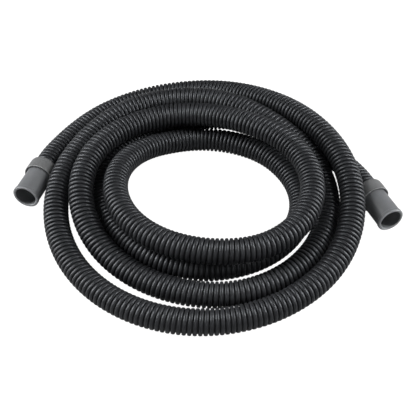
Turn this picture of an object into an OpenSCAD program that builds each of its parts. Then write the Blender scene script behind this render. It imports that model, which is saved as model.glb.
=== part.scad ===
// Corrugated vacuum hose for pools and spas, lying in a loose coil,
// with a swivel cuff on each end. Millimetres, Z up, floor at Z = 0.

/* [Hose] */
// Diameter over the ribs
hose_od = 44; // [36:0.5:52]
// Diameter of the passage
hose_id = 36; // [28:0.5:44]
// Sides of the swept tube
hose_sides = 12; // [8:1:12]

/* [Collar] */
// Diameter of the collar
collar_od = 55.2; // [50:0.1:64]
// Length of the collar
collar_len = 28; // [28:1:60]
// Diameter of the socket that holds the hose
socket_d = 45.8; // [44:0.1:50]
// Depth of the socket
socket_depth = 15; // [12:1:24]
// Length of the rounded rear shoulder
shoulder_len = 6; // [3:0.5:12]
// Height of the rounded rear shoulder
shoulder_drop = 3; // [1:0.1:4]

/* [Swivel] */
// Bore of the cuff tube
bore_d = 38; // [30:0.5:40]
// Outside diameter of the cuff tube
tube_od = 46.2; // [44:0.1:50]
// Diameter over the bead at the mouth
bead_od = 48.2; // [44:0.1:54]
// Length from the collar's back to the mouth
cuff_len = 83; // [76:1:120]
// Diameter of the retained flange
flange_od = 51.2; // [48:0.1:54]
// Thickness of the retained flange
flange_t = 2.6; // [2:0.1:5]
// Radial running clearance
run = 0.06; // [0.02:0.01:0.1]
// Axial clearance on each side of the flange
gap = 0.05; // [0.02:0.01:0.2]

/* [Hidden] */
$fn = 96;

// Moves the coil's centre so that the part is centred on its bounding box.
centre = [-2, 6];

// The two ends: collar back on its axis, heading from -Y towards +X, rise.
back_a = [-298.5, 51, 27.4];
head_a = -16;
rise_a = 3;
back_b = [295, -6, 27.4];
head_b = 21;
rise_b = 3;

// The coil, clockwise from above: radius and height at every 20 degrees,
// starting at 140 degrees. One row is 120 degrees, three rows are one turn.
step = 20;
first = 140;
route = [
  [293,22], [285,22], [273,28], [257,42], [238,60], [235,70],
  [243,70], [256,63], [270,47], [281,35], [284,28], [285,24],
  [286,22], [284,22], [280,22], [273,28], [262,41], [247,47],
  [235,58], [220,64], [204,68], [193,70], [185,66], [188,58],
  [207,42], [220,28], [228,22], [235,22], [238,22], [237,22],
  [229,22], [224,22], [225,30], [224,46], [219,61], [205,69],
  [185,69], [168,68], [155,69], [145,72], [139,79], [148,81],
  [170,76], [187,72], [197,68], [200,67], [195,66], [183,68],
  [175,68], [171,68], [168,68], [163,68], [155,64], [146,54],
  [138,42], [132,30], [131,24], [131,22], [136,22], [147,22],
  [158,22], [172,22], [182,22], [184,22], [182,22], [180,22],
  [180,22], [178,22], [177,22], [180,22], [184,22], [187,22],
  [188,22], [188,22], [190,22], [197,22], [209,22], [228,22],
  [254,22]
];

hose_r = hose_od / 2;
// Direction of an end's axis, out of the mouth.
function out(head, rise) =
  [sin(head) * cos(rise), -cos(head) * cos(rise), sin(rise)];
// Where the hose stops, on the floor of the socket.
function seat(back, head, rise) = back + socket_depth * out(head, rise);

// Control points of a uniform cubic B-spline. The spline runs inside its
// control points on a bend, and 0.98 undoes that for 20 degree steps.
arc = [for (i = [0 : len(route) - 1])
  let (a = first - step * i, r = route[i][0] / 0.98)
  [r * cos(a), r * sin(a), route[i][1]]];
seat_a = seat(back_a, head_a, rise_a);
seat_b = seat(back_b, head_b, rise_b);
dir_a = out(head_a, rise_a);
dir_b = out(head_b, rise_b);
ctrl = concat(
  [for (s = [30, 0, -30, -60]) seat_a + s * dir_a],
  arc,
  [for (s = [-60, -30, 0, 30]) seat_b + s * dir_b]);

// Centre and direction of every ring: the spline at its knots.
rings = [for (i = [1 : len(ctrl) - 2])
  (ctrl[i - 1] + 4 * ctrl[i] + ctrl[i + 1]) / 6];
heads = [for (i = [1 : len(ctrl) - 2])
  let (d = ctrl[i + 1] - ctrl[i - 1]) d / norm(d)];

// Ring of points round a centre: flat sides up, down and to the sides.
function ring(c, t, r) =
  let (s = cross(t, [0, 0, 1]) / norm(cross(t, [0, 0, 1])),
       u = cross(s, t),
       rr = r / cos(180 / hose_sides))
  [for (k = [0 : hose_sides - 1])
    let (a = (k + 0.5) * 360 / hose_sides)
    c + rr * (cos(a) * s + sin(a) * u)];

module sweep_tube(ro, ri) {
  n = hose_sides;
  m = len(rings);
  outer = [for (j = [0 : m - 1]) each ring(rings[j], heads[j], ro)];
  inner = [for (j = [0 : m - 1]) each ring(rings[j], heads[j], ri)];
  o = m * n;
  walls = [for (j = [0 : m - 2]) for (k = [0 : n - 1])
    let (k2 = (k + 1) % n,
         a = j * n + k, b = j * n + k2, c = a + n, d = b + n)
    each [[a, b, d], [a, d, c], [o + a, o + d, o + b], [o + a, o + c, o + d]]];
  near = [for (k = [0 : n - 1]) let (k2 = (k + 1) % n)
    each [[k, o + k, o + k2], [k, o + k2, k2]]];
  e = (m - 1) * n;
  far = [for (k = [0 : n - 1]) let (k2 = (k + 1) % n)
    each [[e + k, e + k2, o + e + k2], [e + k, o + e + k2, o + e + k]]];
  polyhedron(points = concat(outer, inner), faces = concat(walls, near, far));
}

// Puts a shape turned about Z onto an end's axis, Z out of the mouth.
module on_end(back, head, rise) {
  translate([centre[0], centre[1], 0])
  translate(back)
  rotate([0, -rise, head - 90])
  rotate([0, 90, 0])
  children();
}

// Stations along the cuff, from the collar's back.
partition = 2;
chamber = socket_depth + partition;
washer_t = 1.5 - gap;
flange_z = chamber + 1.5;
ring_t = 1.1 - gap;
lip_z = flange_z + flange_t + 1.1;
seal_z = lip_z + 1;
seal_w = 2;
seal_r = tube_od / 2 + 1.7;
// Open groove in the collar's front, round the tube, inside a thin lip.
groove = 2;
lip_t = 1.4;
front = max(collar_len, seal_z + seal_w + 0.8 + groove);

module collar_shape() {
  color([0.47, 0.48, 0.49])
  rotate_extrude()
  polygon(concat(
    [[socket_d / 2, 0]],
    [for (a = [0 : 15 : 90])
      [collar_od / 2 - shoulder_drop * (1 - sin(a)),
       shoulder_len * (1 - cos(a))]],
    [[collar_od / 2, front - 0.4],
     [collar_od / 2 - 0.4, front],
     [collar_od / 2 - lip_t, front],
     [collar_od / 2 - lip_t, front - groove],
     [tube_od / 2 + run, front - groove],
     [tube_od / 2 + run, seal_z + seal_w],
     [seal_r, seal_z + seal_w],
     [seal_r, seal_z],
     [tube_od / 2 + run, seal_z],
     [tube_od / 2 + run, lip_z],
     [flange_od / 2 + run, lip_z],
     [flange_od / 2 + run, chamber],
     [hose_id / 2, chamber],
     [hose_id / 2, socket_depth],
     [socket_d / 2, socket_depth]]));
}

module cuff_shape() {
  color([0.5, 0.51, 0.52])
  rotate_extrude()
  polygon([
    [bore_d / 2, flange_z + 0.5],
    [bore_d / 2 + 0.5, flange_z],
    [flange_od / 2, flange_z],
    [flange_od / 2, flange_z + flange_t],
    [tube_od / 2, flange_z + flange_t],
    [tube_od / 2, cuff_len - 7],
    [bead_od / 2, cuff_len - 5.5],
    [bead_od / 2, cuff_len - 1.5],
    [bead_od / 2 - 1.5, cuff_len],
    [bore_d / 2 + 1, cuff_len],
    [bore_d / 2, cuff_len - 1]]);
}

module flat_ring(ri, ro, z, t) {
  translate([0, 0, z])
  rotate_extrude()
  polygon([[ri, 0], [ro, 0], [ro, t], [ri, t]]);
}

module thrust_washer_shape() {
  color([0.9, 0.9, 0.88])
  flat_ring(bore_d / 2 + 1, flange_od / 2, chamber, washer_t);
}

module slip_ring_shape() {
  color([0.9, 0.9, 0.88])
  flat_ring(tube_od / 2 + run, flange_od / 2, lip_z - ring_t, ring_t);
}

module seal_ring_shape() {
  color([0.08, 0.08, 0.08])
  flat_ring(tube_od / 2 + run, seal_r, seal_z, seal_w);
}

module hose() {
  color([0.12, 0.125, 0.13])
  translate([centre[0], centre[1], 0])
  sweep_tube(hose_r, hose_id / 2);
}

module collar_a() { on_end(back_a, head_a, rise_a) collar_shape(); }
module cuff_a() { on_end(back_a, head_a, rise_a) cuff_shape(); }
module thrust_washer_a() { on_end(back_a, head_a, rise_a) thrust_washer_shape(); }
module slip_ring_a() { on_end(back_a, head_a, rise_a) slip_ring_shape(); }
module seal_ring_a() { on_end(back_a, head_a, rise_a) seal_ring_shape(); }
module collar_b() { on_end(back_b, head_b, rise_b) collar_shape(); }
module cuff_b() { on_end(back_b, head_b, rise_b) cuff_shape(); }
module thrust_washer_b() { on_end(back_b, head_b, rise_b) thrust_washer_shape(); }
module slip_ring_b() { on_end(back_b, head_b, rise_b) slip_ring_shape(); }
module seal_ring_b() { on_end(back_b, head_b, rise_b) seal_ring_shape(); }

hose();
collar_a();
cuff_a();
thrust_washer_a();
slip_ring_a();
seal_ring_a();
collar_b();
cuff_b();
thrust_washer_b();
slip_ring_b();
seal_ring_b();
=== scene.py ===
import math

import bpy
import numpy as np
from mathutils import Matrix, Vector


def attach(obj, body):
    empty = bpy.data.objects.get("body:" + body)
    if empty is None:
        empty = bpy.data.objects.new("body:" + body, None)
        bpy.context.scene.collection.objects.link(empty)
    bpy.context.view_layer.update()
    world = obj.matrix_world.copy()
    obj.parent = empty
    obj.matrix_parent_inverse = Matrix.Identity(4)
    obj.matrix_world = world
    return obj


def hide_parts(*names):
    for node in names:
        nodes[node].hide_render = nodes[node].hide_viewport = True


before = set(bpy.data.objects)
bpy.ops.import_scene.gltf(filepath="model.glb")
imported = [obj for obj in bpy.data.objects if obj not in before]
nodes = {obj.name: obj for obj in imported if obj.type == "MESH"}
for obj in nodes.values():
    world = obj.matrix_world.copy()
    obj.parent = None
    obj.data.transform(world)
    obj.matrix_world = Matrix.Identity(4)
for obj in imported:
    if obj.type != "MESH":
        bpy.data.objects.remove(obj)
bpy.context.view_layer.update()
MM = 0.001

# ---------------------------------------------------------------- the route
# The same round numbers as in the CAD source, in millimetres.
CENTRE = np.array([-2.0, 6.0, 0.0])
BACK_A, HEAD_A, RISE_A = np.array([-298.5, 51.0, 27.4]), -16.0, 3.0
BACK_B, HEAD_B, RISE_B = np.array([295.0, -6.0, 27.4]), 21.0, 3.0
SOCKET = 15.0
COLLAR_FRONT = 28.0
CUFF_LEN = 83.0
STEP, FIRST = 20.0, 140.0
ROUTE = [
    (293, 22), (285, 22), (273, 28), (257, 42), (238, 60), (235, 70),
    (243, 70), (256, 63), (270, 47), (281, 35), (284, 28), (285, 24),
    (286, 22), (284, 22), (280, 22), (273, 28), (262, 41), (247, 47),
    (235, 58), (220, 64), (204, 68), (193, 70), (185, 66), (188, 58),
    (207, 42), (220, 28), (228, 22), (235, 22), (238, 22), (237, 22),
    (229, 22), (224, 22), (225, 30), (224, 46), (219, 61), (205, 69),
    (185, 69), (168, 68), (155, 69), (145, 72), (139, 79), (148, 81),
    (170, 76), (187, 72), (197, 68), (200, 67), (195, 66), (183, 68),
    (175, 68), (171, 68), (168, 68), (163, 68), (155, 64), (146, 54),
    (138, 42), (132, 30), (131, 24), (131, 22), (136, 22), (147, 22),
    (158, 22), (172, 22), (182, 22), (184, 22), (182, 22), (180, 22),
    (180, 22), (178, 22), (177, 22), (180, 22), (184, 22), (187, 22),
    (188, 22), (188, 22), (190, 22), (197, 22), (209, 22), (228, 22),
    (254, 22),
]


def out_of(head, rise):
    h, r = math.radians(head), math.radians(rise)
    return np.array([math.sin(h) * math.cos(r), -math.cos(h) * math.cos(r), math.sin(r)])


DIR_A, DIR_B = out_of(HEAD_A, RISE_A), out_of(HEAD_B, RISE_B)
SEAT_A = BACK_A + SOCKET * DIR_A
SEAT_B = BACK_B + SOCKET * DIR_B


def control():
    pts = [SEAT_A + s * DIR_A for s in (30, 0, -30, -60)]
    for i, (r, z) in enumerate(ROUTE):
        a = math.radians(FIRST - STEP * i)
        pts.append(np.array([r / 0.98 * math.cos(a), r / 0.98 * math.sin(a), z]))
    pts += [SEAT_B + s * DIR_B for s in (-60, -30, 0, 30)]
    return np.array(pts)


def spline(c, n):
    t = (np.arange(n) / n)[:, None]
    w = [(1 - t) ** 3 / 6, (3 * t**3 - 6 * t**2 + 4) / 6, (-3 * t**3 + 3 * t**2 + 3 * t + 1) / 6, t**3 / 6]
    rows = [sum(w[k] * c[i + k] for k in range(4)) for i in range(len(c) - 3)]
    rows.append(((c[-3] + 4 * c[-2] + c[-1]) / 6)[None])
    return np.vstack(rows)


FINE = (spline(control(), 64) + CENTRE) * MM
FINE_S = np.concatenate([[0.0], np.cumsum(np.linalg.norm(np.diff(FINE, axis=0), axis=1))])
LENGTH = float(FINE_S[-1])


def at(s):
    """Centre, side and up vectors of the route at the distances s, in metres."""
    s = np.asarray(s, float)
    grid = np.linspace(0, LENGTH, 6000)
    line = np.stack([np.interp(grid, FINE_S, FINE[:, k]) for k in range(3)], 1)
    tan = np.gradient(line, grid, axis=0)
    pos = np.stack([np.interp(s, FINE_S, FINE[:, k]) for k in range(3)], -1)
    t = np.stack([np.interp(s, grid, tan[:, k]) for k in range(3)], -1)
    t /= np.linalg.norm(t, axis=-1, keepdims=True)
    side = np.cross(t, [0.0, 0.0, 1.0])
    side /= np.linalg.norm(side, axis=-1, keepdims=True)
    return pos, side, np.cross(side, t)


# ---------------------------------------------------------------- the camera
TARGET = Vector((0.004, -0.040, 0.022))
ELEV, DIST, F_PX = 48.5, 1.276, 714.0
cam_data = bpy.data.cameras.new("camera")
cam_data.sensor_width = 36.0
cam_data.lens = F_PX / 416 * 36.0
cam_data.clip_start, cam_data.clip_end = 0.05, 100
cam = bpy.data.objects.new("camera", cam_data)
bpy.context.scene.collection.objects.link(cam)
back = Vector((0, -math.cos(math.radians(ELEV)), math.sin(math.radians(ELEV))))
cam.location = TARGET + back * DIST
cam.rotation_mode = "QUATERNION"
cam.rotation_quaternion = (-back).to_track_quat("-Z", "Y")
bpy.context.scene.camera = cam

# ---------------------------------------------------------------- the hose
CREST, ROOT, INNER = 0.0220, 0.0184, 0.0174
PITCH = 0.0081
RIB_HALF = 0.0032      # half the width of a rib at its foot
ROUND = 3.0            # how square a rib's section is
SIDES = 28


def rib_rows():
    """(offset along the hose, radius, how deep in the groove) through one pitch."""
    rows = [(0.0, ROOT, 1.0)]
    for deg in (0, 12, 30, 55, 90, 125, 150, 168, 180):
        a = math.radians(deg)
        x = -RIB_HALF * math.copysign(abs(math.cos(a)) ** (2 / ROUND), math.cos(a))
        h = math.sin(a) ** (2 / ROUND) if deg < 180 else 0.0
        rows.append((PITCH / 2 + x, ROOT + (CREST - ROOT) * h, 1 - h))
    return rows


def ribbed_hose():
    """Vertices, faces, map corners and groove depth of the hollow ribbed tube."""
    rows = rib_rows()
    per = len(rows)
    turns = int(LENGTH / PITCH) + 3
    s_row = np.concatenate([[(i * PITCH + r[0]) for r in rows] for i in range(-1, turns)])
    r_row = np.tile([r[1] for r in rows], turns + 1)
    g_row = np.tile([r[2] for r in rows], turns + 1)
    keep = s_row < LENGTH + 0.0006
    s_row, r_row, g_row = s_row[keep], r_row[keep], g_row[keep]
    n = len(s_row)
    col = np.arange(SIDES)
    ang = 2 * np.pi * col / SIDES
    # One helical thread: each column is a little further along than the last.
    s = s_row[:, None] + PITCH * col[None, :] / SIDES
    low, high = s <= 0, s >= LENGTH
    r = np.where(low | high, ROOT, r_row[:, None])
    g = np.where(low | high, 1.0, g_row[:, None])
    s = np.clip(s, 0.0, LENGTH)
    ring = np.cos(ang)[None, :, None], np.sin(ang)[None, :, None]
    pos, side, up = at(s)
    outer = pos + r[..., None] * (ring[0] * side + ring[1] * up)

    # Turns of the thread that run past either end all fall on the end ring.
    index = np.arange(n * SIDES).reshape(n, SIDES)
    index = np.where(low, index[:1], np.where(high, index[-1:], index))

    m = int(LENGTH / 0.010)
    line = np.linspace(0, LENGTH, m)
    pos, side, up = at(np.repeat(line[:, None], SIDES, 1))
    inner = pos + INNER * (ring[0] * side + ring[1] * up)
    inside = n * SIDES + np.arange(m * SIDES).reshape(m, SIDES)

    # The map lays the hose out as lengths side by side, then the inside, then the ends.
    lanes = 7
    run = np.concatenate([[0.0], np.cumsum(np.hypot(np.diff(s_row), np.diff(r_row)))])
    run *= lanes / run[-1]

    def lane(k, j, u):
        return (0.002 + 0.996 * u, (k + 0.03 + 0.94 * j / SIDES) / (lanes + 2))

    faces, corners = [], []

    def add(vs, uv):
        f, c = [], []
        for v, q in zip(vs, uv):
            if v not in f:
                f.append(v)
                c.append(q)
        if len(f) > 2:
            faces.append(f)
            corners.extend(c)

    for i in range(n - 1):
        k = min(int(run[i]), lanes - 1)
        u0, u1 = run[i] - k, min(run[i + 1] - k, 1.0)
        for j in range(SIDES):
            if j + 1 < SIDES:
                b, d = index[i, j + 1], index[i + 1, j + 1]
            elif i + per + 1 < n:  # the seam, where the thread has climbed by a pitch
                b, d = index[i + per, 0], index[i + per + 1, 0]
            else:
                b = d = index[-1, 0]
            add(
                (int(index[i, j]), int(index[i + 1, j]), int(d), int(b)),
                (lane(k, j, u0), lane(k, j, u1), lane(k, j + 1, u1), lane(k, j + 1, u0)),
            )
    for i in range(m - 1):
        u0, u1 = i / (m - 1), (i + 1) / (m - 1)
        for j in range(SIDES):
            j2 = (j + 1) % SIDES
            add(
                (int(inside[i, j]), int(inside[i, j2]), int(inside[i + 1, j2]), int(inside[i + 1, j])),
                (lane(lanes, j, u0), lane(lanes, j + 1, u0), lane(lanes, j + 1, u1), lane(lanes, j, u1)),
            )
    for j in range(SIDES):
        j2 = (j + 1) % SIDES
        u0, u1 = j / SIDES / 2, (j + 1) / SIDES / 2
        first = (int(index[0, j]), int(index[0, j2]), int(inside[0, j2]), int(inside[0, j]))
        last = (int(index[-1, j]), int(inside[-1, j]), int(inside[-1, j2]), int(index[-1, j2]))
        add(first, (lane(lanes + 1, 0, u0), lane(lanes + 1, 0, u1), lane(lanes + 1, 9, u1), lane(lanes + 1, 9, u0)))
        add(last, (lane(lanes + 1, 0, u0 + 0.5), lane(lanes + 1, 9, u0 + 0.5), lane(lanes + 1, 9, u1 + 0.5), lane(lanes + 1, 0, u1 + 0.5)))

    verts = np.concatenate([outer.reshape(-1, 3), inner.reshape(-1, 3)])
    depth = np.concatenate([g.ravel(), np.ones(m * SIDES)])
    used = np.unique(np.concatenate([np.array(f) for f in faces]))
    new = np.full(len(verts), -1)
    new[used] = np.arange(len(used))
    faces = [[int(new[v]) for v in f] for f in faces]
    return verts[used], faces, np.array(corners), depth[used]


verts, faces, corners, depth = ribbed_hose()
mesh = bpy.data.meshes.new("ribbed_hose")
mesh.from_pydata(verts.tolist(), [], faces)
mesh.update()
layer = mesh.uv_layers.new(name="OFBake")
layer.uv.foreach_set("vector", corners.astype(np.float32).ravel())
groove = mesh.attributes.new("groove", "FLOAT", "POINT")
groove.data.foreach_set("value", depth.astype(np.float32))
mesh.polygons.foreach_set("use_smooth", [True] * len(mesh.polygons))
hose = bpy.data.objects.new("ribbed_hose", mesh)
bpy.context.scene.collection.objects.link(hose)
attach(hose, "hose_body")
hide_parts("hose")

path = at(np.linspace(0, LENGTH, 1200))[0]


# ---------------------------------------------------------------- materials
class Nodes:
    """A small helper for writing a material's nodes."""

    def __init__(self, name):
        self.mat = bpy.data.materials.new(name)
        self.mat.use_nodes = True
        self.tree = self.mat.node_tree
        self.tree.nodes.clear()
        self.out = self.new("ShaderNodeOutputMaterial")

    def new(self, kind, **settings):
        n = self.tree.nodes.new(kind)
        for k, v in settings.items():
            setattr(n, k, v)
        return n

    def link(self, a, b):
        self.tree.links.new(a, b)

    def noise(self, coords, scale, detail=3.0, rough=0.5, distortion=0.0):
        n = self.new("ShaderNodeTexNoise")
        n.inputs["Scale"].default_value = scale
        n.inputs["Detail"].default_value = detail
        n.inputs["Roughness"].default_value = rough
        n.inputs["Distortion"].default_value = distortion
        self.link(coords, n.inputs["Vector"])
        return n.outputs["Fac"]

    def span(self, value, a, b, c, d):
        n = self.new("ShaderNodeMapRange")
        for key, v in (("From Min", a), ("From Max", b), ("To Min", c), ("To Max", d)):
            n.inputs[key].default_value = v
        self.link(value, n.inputs["Value"])
        return n.outputs["Result"]

    def math(self, op, a, b=None):
        n = self.new("ShaderNodeMath", operation=op)
        for i, v in enumerate((a, b)):
            if v is None:
                continue
            if isinstance(v, (int, float)):
                n.inputs[i].default_value = v
            else:
                self.link(v, n.inputs[i])
        return n.outputs[0]

    def mix(self, fac, a, b):
        n = self.new("ShaderNodeMix", data_type="RGBA")
        self.link(fac, n.inputs["Factor"])
        for key, v in ((6, a), (7, b)):
            if isinstance(v, tuple):
                n.inputs[key].default_value = (*v, 1.0)
            else:
                self.link(v, n.inputs[key])
        return n.outputs[2]


def hose_material():
    m = Nodes("hose_plastic")
    co = m.new("ShaderNodeTexCoord").outputs["Object"]
    deep = m.new("ShaderNodeAttribute", attribute_name="groove").outputs["Fac"]
    broad = m.noise(co, 22.0, 3.0)
    fine = m.noise(co, 420.0, 4.0, 0.6)
    grain = m.noise(co, 1600.0, 2.0, 0.5)
    body = m.mix(m.span(broad, 0.35, 0.65, 0.0, 1.0), (0.014, 0.0145, 0.0160), (0.020, 0.0208, 0.0228))
    body = m.mix(m.span(fine, 0.40, 0.72, 0.0, 0.35), body, (0.030, 0.031, 0.0335))
    # Crests that have slid over tiles are a little paler.
    crest = m.span(deep, 0.02, 0.30, 1.0, 0.0)
    rubbed = m.math("MULTIPLY", crest, m.span(m.noise(co, 60.0, 5.0, 0.65), 0.56, 0.72, 0.0, 0.55))
    body = m.mix(rubbed, body, (0.042, 0.043, 0.046))
    # Groove bottoms are painted near black by their depth: painted shade in the grooves.
    body = m.mix(m.span(deep, 0.35, 0.95, 0.0, 0.85), body, (0.004, 0.004, 0.0043))
    b = m.new("ShaderNodeBsdfPrincipled")
    m.link(body, b.inputs["Base Color"])
    rough = m.math("ADD", m.span(fine, 0.3, 0.7, 0.38, 0.47), m.math("MULTIPLY", rubbed, 0.12))
    m.link(m.math("ADD", rough, m.math("MULTIPLY", deep, 0.15)), b.inputs["Roughness"])
    b.inputs["IOR"].default_value = 1.49
    b.inputs["Specular Tint"].default_value = (0.90, 0.94, 1.0, 1.0)
    bump = m.new("ShaderNodeBump")
    bump.inputs["Strength"].default_value = 0.25
    bump.inputs["Distance"].default_value = 0.0002
    m.link(m.math("ADD", m.math("MULTIPLY", grain, 0.5), fine), bump.inputs["Height"])
    m.link(bump.outputs["Normal"], b.inputs["Normal"])
    m.link(b.outputs["BSDF"], m.out.inputs["Surface"])
    return m.mat


def moulded_material(name, dark, pale, rough, ior=1.5, rim=None):
    """Plain moulded plastic; rim is (point, direction) of an edge painted pale as a highlight, in object space."""
    m = Nodes(name)
    co = m.new("ShaderNodeTexCoord").outputs["Object"]
    broad = m.noise(co, 35.0, 3.0)
    fine = m.noise(co, 500.0, 4.0, 0.6)
    grain = m.noise(co, 2400.0, 2.0, 0.5)
    body = m.mix(m.span(broad, 0.35, 0.65, 0.0, 1.0), dark, pale)
    body = m.mix(m.span(fine, 0.45, 0.75, 0.0, 0.25), body, tuple(min(1.0, 1.25 * c) for c in pale))
    if rim:
        point, direction = rim
        away = m.new("ShaderNodeVectorMath", operation="SUBTRACT")
        m.link(co, away.inputs[0])
        away.inputs[1].default_value = point
        along = m.new("ShaderNodeVectorMath", operation="DOT_PRODUCT")
        m.link(away.outputs["Vector"], along.inputs[0])
        along.inputs[1].default_value = direction
        # The last millimetre before the rim plane is painted paler, in patches: a painted highlight on the edge.
        rim_highlight = m.span(along.outputs["Value"], -0.0016, -0.0006, 0.0, 1.0)
        rim_highlight = m.math("MULTIPLY", rim_highlight, m.span(broad, 0.25, 0.60, 0.55, 1.0))
        body = m.mix(rim_highlight, body, tuple(min(1.0, 1.8 * c) for c in pale))
    b = m.new("ShaderNodeBsdfPrincipled")
    m.link(body, b.inputs["Base Color"])
    m.link(m.span(fine, 0.3, 0.7, rough - 0.05, rough + 0.06), b.inputs["Roughness"])
    b.inputs["IOR"].default_value = ior
    bump = m.new("ShaderNodeBump")
    bump.inputs["Strength"].default_value = 0.3
    bump.inputs["Distance"].default_value = 0.00015
    m.link(m.math("ADD", m.math("MULTIPLY", fine, 0.6), grain), bump.inputs["Height"])
    m.link(bump.outputs["Normal"], b.inputs["Normal"])
    m.link(b.outputs["BSDF"], m.out.inputs["Surface"])
    return m.mat


def paint(obj, mat):
    if not obj.material_slots:
        obj.data.materials.append(mat)
    for s in obj.material_slots:
        s.material = mat


paint(hose, hose_material())


def rim_of(node, back, direction, z):
    """The plane across an end's axis at z, in the object space of a node."""
    inverse = node.matrix_world.inverted()
    point = inverse @ Vector((back + CENTRE + z * np.array(direction)) * MM)
    return point, (inverse.to_3x3() @ Vector(direction)).normalized()


collar_mat, cuff_mat = {}, {}
for e, back, direction in (("a", BACK_A, DIR_A), ("b", BACK_B, DIR_B)):
    collar_mat[e] = moulded_material("collar_plastic_" + e, (0.126, 0.129, 0.131), (0.149, 0.152, 0.154), 0.50,
                                     rim=rim_of(nodes["collar_" + e], back, direction, COLLAR_FRONT))
    cuff_mat[e] = moulded_material("cuff_plastic_" + e, (0.124, 0.129, 0.135), (0.147, 0.152, 0.159), 0.42,
                                   rim=rim_of(nodes["cuff_" + e], back, direction, CUFF_LEN))
washer_mat = moulded_material("washer_plastic", (0.60, 0.60, 0.57), (0.70, 0.70, 0.67), 0.40)
seal_mat = moulded_material("seal_rubber", (0.014, 0.014, 0.014), (0.024, 0.024, 0.024), 0.60)
for e in "ab":
    paint(nodes["collar_" + e], collar_mat[e])
    paint(nodes["cuff_" + e], cuff_mat[e])
    paint(nodes["thrust_washer_" + e], washer_mat)
    paint(nodes["slip_ring_" + e], washer_mat)
    paint(nodes["seal_ring_" + e], seal_mat)

# ---------------------------------------------------------------- floor, light
plane = bpy.data.meshes.new("floor")
w = 20.0
plane.from_pydata([(-w, -w, 0), (w, -w, 0), (w, w, 0), (-w, w, 0)], [], [(0, 1, 2, 3)])
floor = bpy.data.objects.new("floor", plane)
bpy.context.scene.collection.objects.link(floor)
floor.location.z = -0.0004
m = Nodes("floor_white")
glow = m.new("ShaderNodeEmission")
glow.inputs["Color"].default_value = (1.0, 1.0, 1.0, 1.0)
glow.inputs["Strength"].default_value = 1.0
matt = m.new("ShaderNodeBsdfDiffuse")
matt.inputs["Color"].default_value = (0.16, 0.16, 0.16, 1.0)
both = m.new("ShaderNodeAddShader")
m.link(glow.outputs[0], both.inputs[0])
m.link(matt.outputs[0], both.inputs[1])
m.link(both.outputs[0], m.out.inputs["Surface"])
plane.materials.append(m.mat)
floor.visible_diffuse = False
floor.visible_glossy = False

# The studio's backdrop, the same white, for views from low down.
wall_mesh = bpy.data.meshes.new("backdrop")
turn = [2 * math.pi * k / 48 for k in range(48)]
wall_mesh.from_pydata(
    [(19 * math.cos(t), 19 * math.sin(t), z) for z in (-0.01, 15.0) for t in turn], [],
    [(k, (k + 1) % 48, 48 + (k + 1) % 48, 48 + k) for k in range(48)])
m = Nodes("backdrop_white")
glow = m.new("ShaderNodeEmission")
glow.inputs["Color"].default_value = (1.0, 1.0, 1.0, 1.0)
glow.inputs["Strength"].default_value = 1.0
m.link(glow.outputs[0], m.out.inputs["Surface"])
wall_mesh.materials.append(m.mat)
wall = bpy.data.objects.new("backdrop", wall_mesh)
bpy.context.scene.collection.objects.link(wall)
wall.visible_diffuse = False
wall.visible_glossy = False
wall.visible_shadow = False

# A second sheet that the camera doesn't see throws the light back up.
bounce_mesh = plane.copy()
bounce_mesh.name = "floor_bounce"
bounce_mesh.materials.clear()
m = Nodes("floor_bounce")
matt = m.new("ShaderNodeBsdfDiffuse")
matt.inputs["Color"].default_value = (0.40, 0.40, 0.40, 1.0)
m.link(matt.outputs[0], m.out.inputs["Surface"])
bounce_mesh.materials.append(m.mat)
bounce = bpy.data.objects.new("floor_bounce", bounce_mesh)
bpy.context.scene.collection.objects.link(bounce)
bounce.location.z = -0.0002
bounce.visible_camera = False
bounce.visible_shadow = False

world = bpy.data.worlds.new("studio")
world.use_nodes = True
bpy.context.scene.world = world
wt = world.node_tree
wt.nodes.clear()
wo = wt.nodes.new("ShaderNodeOutputWorld")
wb = wt.nodes.new("ShaderNodeBackground")
wc = wt.nodes.new("ShaderNodeTexCoord")
ws = wt.nodes.new("ShaderNodeSeparateXYZ")
wr = wt.nodes.new("ShaderNodeValToRGB")
wt.links.new(wc.outputs["Generated"], ws.inputs[0])
wm = wt.nodes.new("ShaderNodeMapRange")
wm.inputs["From Min"].default_value = -1.0
wm.inputs["From Max"].default_value = 1.0
wt.links.new(ws.outputs["Z"], wm.inputs["Value"])
wt.links.new(wm.outputs["Result"], wr.inputs["Fac"])
ramp = wr.color_ramp
ramp.elements[0].position, ramp.elements[0].color = 0.60, (0.10, 0.10, 0.10, 1)
ramp.elements[1].position, ramp.elements[1].color = 0.90, (1, 1, 1, 1)
wt.links.new(wr.outputs["Color"], wb.inputs["Color"])
wb.inputs["Strength"].default_value = 0.045
wt.links.new(wb.outputs[0], wo.inputs["Surface"])


def area(name, place, aim, size, power):
    d = bpy.data.lights.new(name, "AREA")
    d.shape, d.size, d.size_y, d.energy = "RECTANGLE", size[0], size[1], power
    o = bpy.data.objects.new(name, d)
    o.location = place
    o.rotation_mode = "QUATERNION"
    o.rotation_quaternion = (Vector(aim) - Vector(place)).to_track_quat("-Z", "Y")
    bpy.context.scene.collection.objects.link(o)


area("left", (-1.72, 0.15, 1.05), (0, 0, 0), (0.5, 2.0), 57.0)
area("right", (1.72, 0.15, 1.05), (0, 0, 0), (0.5, 2.0), 54.0)
area("front", (0.00, -1.50, 1.00), (0, 0, 0), (0.9, 0.9), 4.2)

bpy.context.scene.view_settings.view_transform = "Standard"
bpy.context.scene.view_settings.look = "None"
